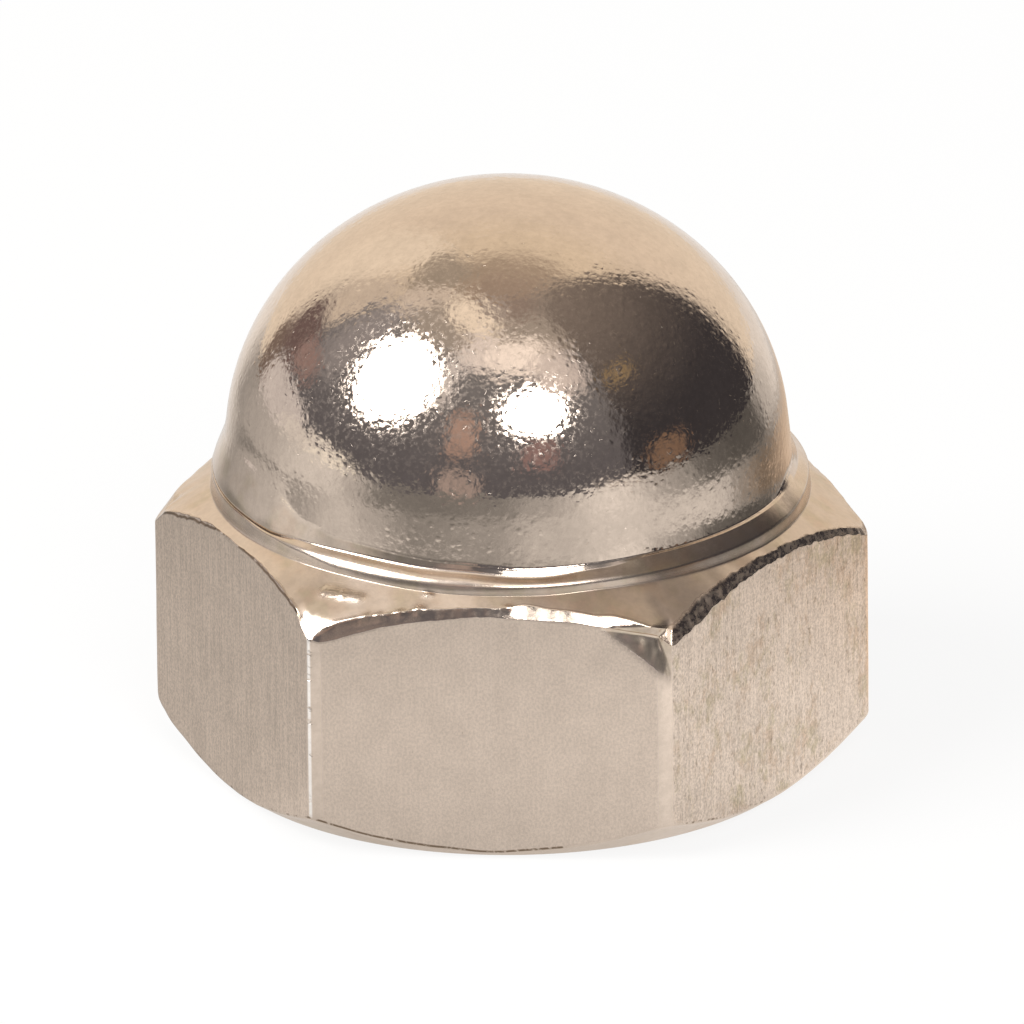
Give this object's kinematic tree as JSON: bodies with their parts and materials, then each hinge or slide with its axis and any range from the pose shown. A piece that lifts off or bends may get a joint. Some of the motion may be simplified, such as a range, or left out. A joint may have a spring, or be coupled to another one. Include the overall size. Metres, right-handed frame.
{
  "type": "cap nut",
  "caption": "Low domed cap nut: a hexagon nut whose blind thread ends under a polished crown, to cover and finish a bolt's end.",
  "frame": {"origin": "centre of the flat bearing face, on the thread's axis", "axes": "+Z along the thread's axis towards the top of the crown; two corners of the hexagon lie on the X axis, so one pair of its flats faces +Y and -Y"},
  "size_m": [0.0146, 0.0128, 0.0121],
  "materials": {
    "nickel_plate": "nickel plate, mirror bright on the crown and neck, satin on the hexagon's faces"
  },
  "bodies": {
    "root": {"cap_nut": "nickel_plate"}
  },
  "joints": []
}
